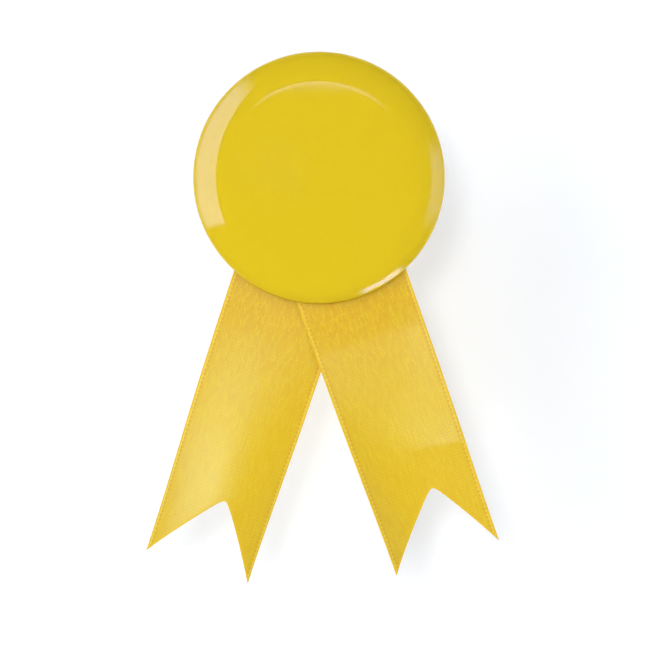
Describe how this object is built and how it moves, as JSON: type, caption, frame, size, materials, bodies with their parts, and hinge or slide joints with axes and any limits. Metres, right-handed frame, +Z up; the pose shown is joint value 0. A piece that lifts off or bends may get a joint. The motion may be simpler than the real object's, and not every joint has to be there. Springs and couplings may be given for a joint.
{
  "type": "award ribbon badge",
  "caption": "Round domed button badge with a folded satin ribbon behind it, two swallow-tailed tails, and a hinged brooch pin with a safety catch on the back.",
  "frame": {"origin": "on the axis of the brooch pin's needle, halfway along the pin's bar, behind the badge", "axes": "upright as worn: +X to the right seen from the front and along the needle to its point, +Y from the front to the back, +Z up"},
  "size_m": [0.0798, 0.0113, 0.1186],
  "materials": {
    "clear_film": "clear glossy polyester film",
    "printed_paper": "plain yellow print under the film",
    "tinplate": "bright tinplate, rolled",
    "foam_pad": "white closed-cell foam tape",
    "nickel_plate": "nickel plated steel, stamped",
    "needle_steel": "drawn and polished steel wire",
    "satin_ribbon": "golden yellow polyester satin with woven selvedges",
    "clear_tape": "double-sided tape",
    "hot_glue": "hot-melt glue"
  },
  "bodies": {
    "root": {"clear_film": "clear_film", "artwork_disc": "printed_paper", "front_shell": "tinplate", "back_plate": "tinplate", "pin_pad": "foam_pad", "pin_bar": "nickel_plate", "hinge_rivet": "nickel_plate", "ribbon_tape": "clear_tape", "ribbon_head": "satin_ribbon", "fold_glue": "hot_glue"},
    "needle": {"pin_needle": "needle_steel"},
    "catch": {"safety_catch": "nickel_plate"},
    "left_tail": {"left_tail": "satin_ribbon"},
    "right_tail": {"right_tail": "satin_ribbon"}
  },
  "joints": [
    {"name": "needle_hinge", "type": "hinge", "parent": "root", "child": "needle", "pos_m": [-0.0145, 0, 0], "axis": [0, 0, 1], "range_deg": [0, 100]},
    {"name": "catch_turn", "type": "hinge", "parent": "root", "child": "catch", "pos_m": [0.0134, 0, 0], "axis": [1, 0, 0], "range_deg": [0, 78]},
    {"name": "left_tail_flex", "type": "hinge", "parent": "root", "child": "left_tail", "pos_m": [-0.01287, -0.0027, -0.04894], "axis": [0.95, 0, -0.3123], "range_deg": [-75, 75]},
    {"name": "right_tail_flex", "type": "hinge", "parent": "root", "child": "right_tail", "pos_m": [0.01375, -0.0033, -0.04864], "axis": [0.9426, 0, 0.3338], "range_deg": [-75, 75]}
  ]
}
